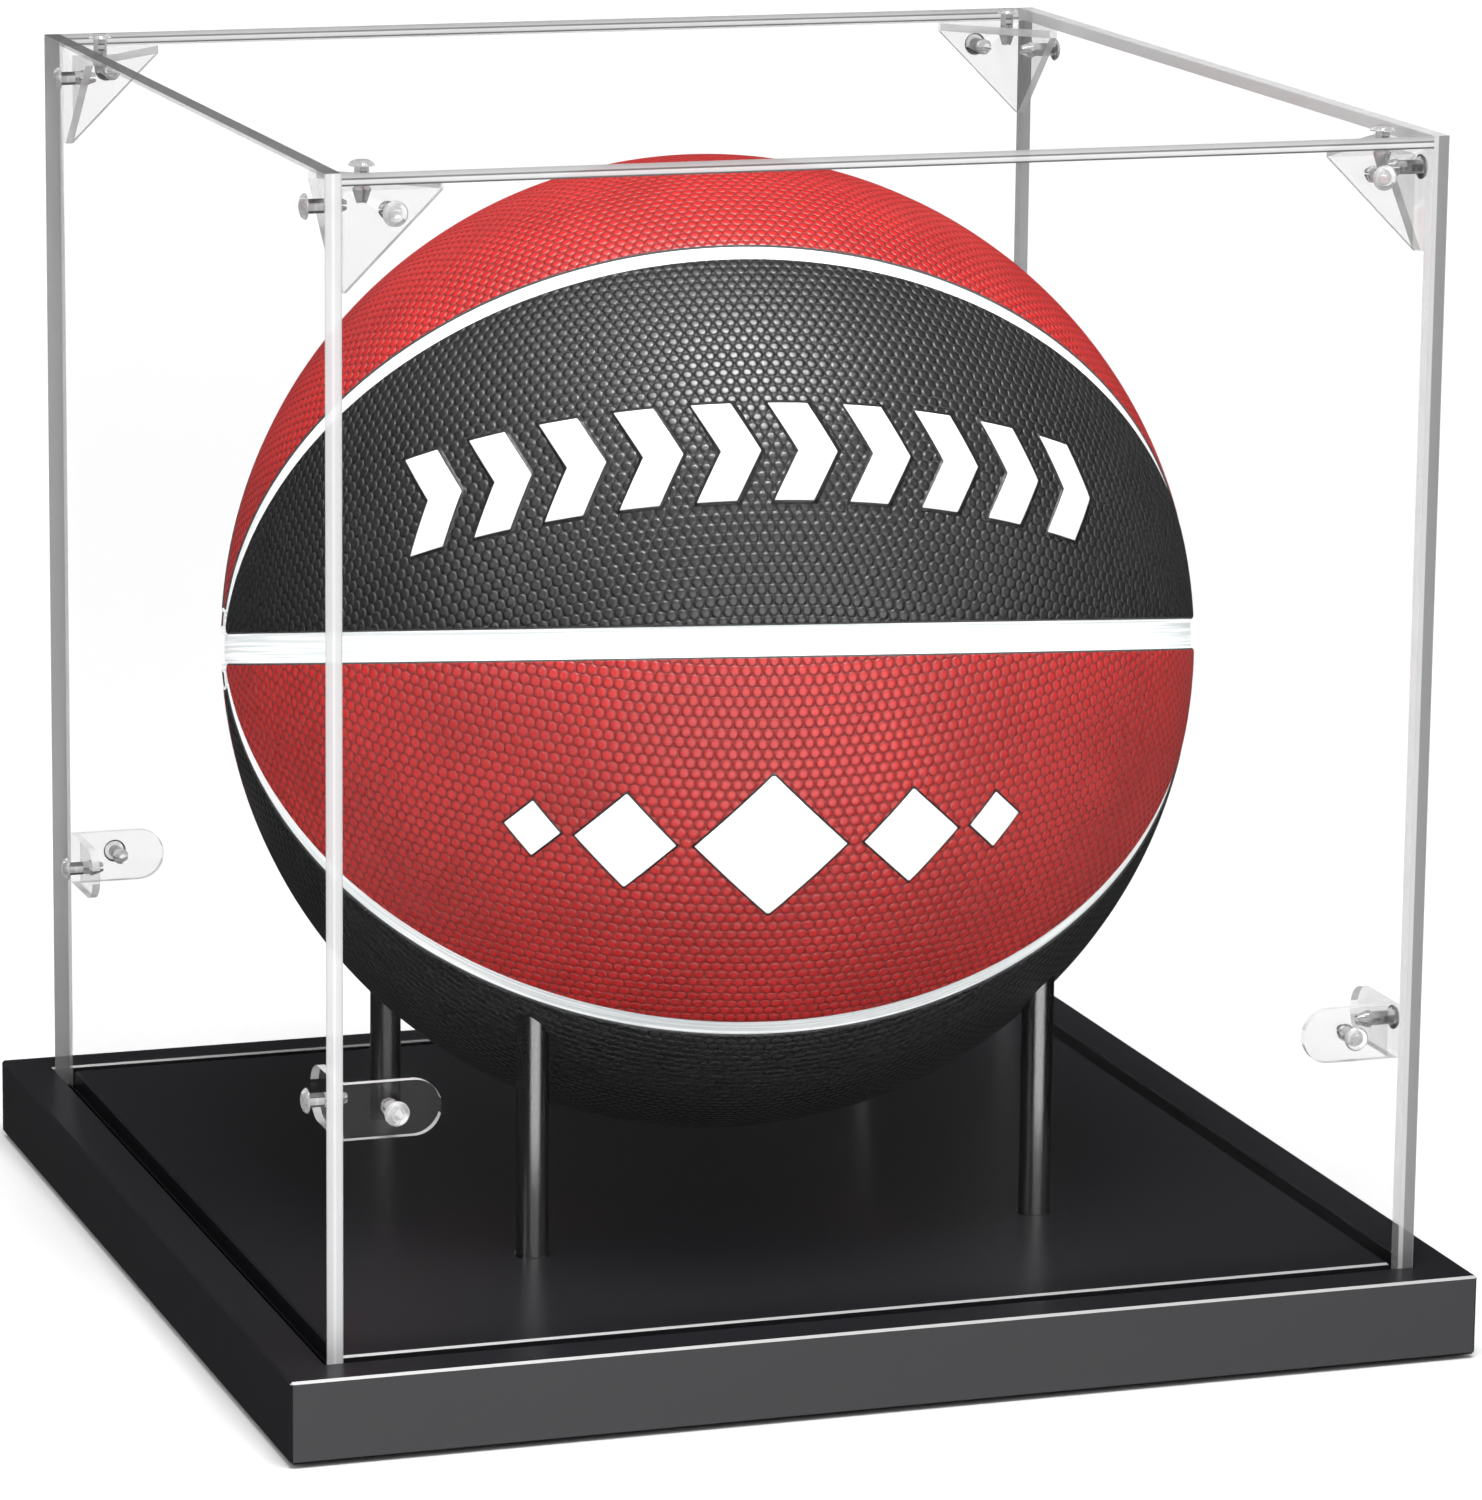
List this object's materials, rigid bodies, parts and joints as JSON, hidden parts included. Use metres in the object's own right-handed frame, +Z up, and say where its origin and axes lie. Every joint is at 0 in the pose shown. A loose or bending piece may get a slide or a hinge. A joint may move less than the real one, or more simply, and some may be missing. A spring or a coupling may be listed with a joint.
{
  "type": "ball display case",
  "caption": "Cube-shaped clear acrylic display case with a black plinth and upright posts that hold a full-size basketball under a lift-off cover.",
  "frame": {"origin": "on the surface the case stands on, under the middle of the plinth", "axes": "+Z up, -Y out of the front face, +X to the right seen from the front"},
  "size_m": [0.3, 0.3, 0.3014],
  "materials": {
    "plinth_black": "semi-gloss black with soft reflections",
    "post_metal": "polished dark metal",
    "screw_steel": "zinc-plated",
    "pad_rubber": "matt",
    "clear_acrylic": "clear, polished faces and edges",
    "clear_connector": "clear, laser-cut edges",
    "clear_rivet": "clear moulded nylon",
    "ball_rubber": "pebbled, red and charcoal panels with white channels",
    "bladder_rubber": "smooth matt",
    "valve_rubber": "smooth"
  },
  "bodies": {
    "base": {"base_plinth": "plinth_black", "post_front_left": "post_metal", "post_front_right": "post_metal", "post_back_left": "post_metal", "post_back_right": "post_metal", "post_screws": "screw_steel", "foot_pad_front_left": "pad_rubber", "foot_pad_front_right": "pad_rubber", "foot_pad_back_left": "pad_rubber", "foot_pad_back_right": "pad_rubber"},
    "cover": {"front_panel": "clear_acrylic", "back_panel": "clear_acrylic", "left_panel": "clear_acrylic", "right_panel": "clear_acrylic", "top_panel": "clear_acrylic", "corner_connector_front_left": "clear_connector", "corner_connector_front_right": "clear_connector", "corner_connector_back_left": "clear_connector", "corner_connector_back_right": "clear_connector", "edge_clip_front_left": "clear_connector", "edge_clip_front_right": "clear_connector", "edge_clip_back_left": "clear_connector", "edge_clip_back_right": "clear_connector", "connector_rivets_front_left": "clear_rivet", "connector_rivets_front_right": "clear_rivet", "connector_rivets_back_left": "clear_rivet", "connector_rivets_back_right": "clear_rivet", "clip_rivets_front_left": "clear_rivet", "clip_rivets_front_right": "clear_rivet", "clip_rivets_back_left": "clear_rivet", "clip_rivets_back_right": "clear_rivet"},
    "ball": {"ball_cover": "ball_rubber", "ball_bladder": "bladder_rubber", "ball_valve": "valve_rubber"}
  },
  "joints": [
    {"name": "cover_lift", "type": "slide", "parent": "base", "child": "cover", "axis": [0, 0, 1], "range_m": [0, 0.3]},
    {"name": "ball_turn", "type": "hinge", "parent": "base", "child": "ball", "pos_m": [0, 0, 0.15807], "axis": [0, 0, 1], "continuous": true}
  ]
}
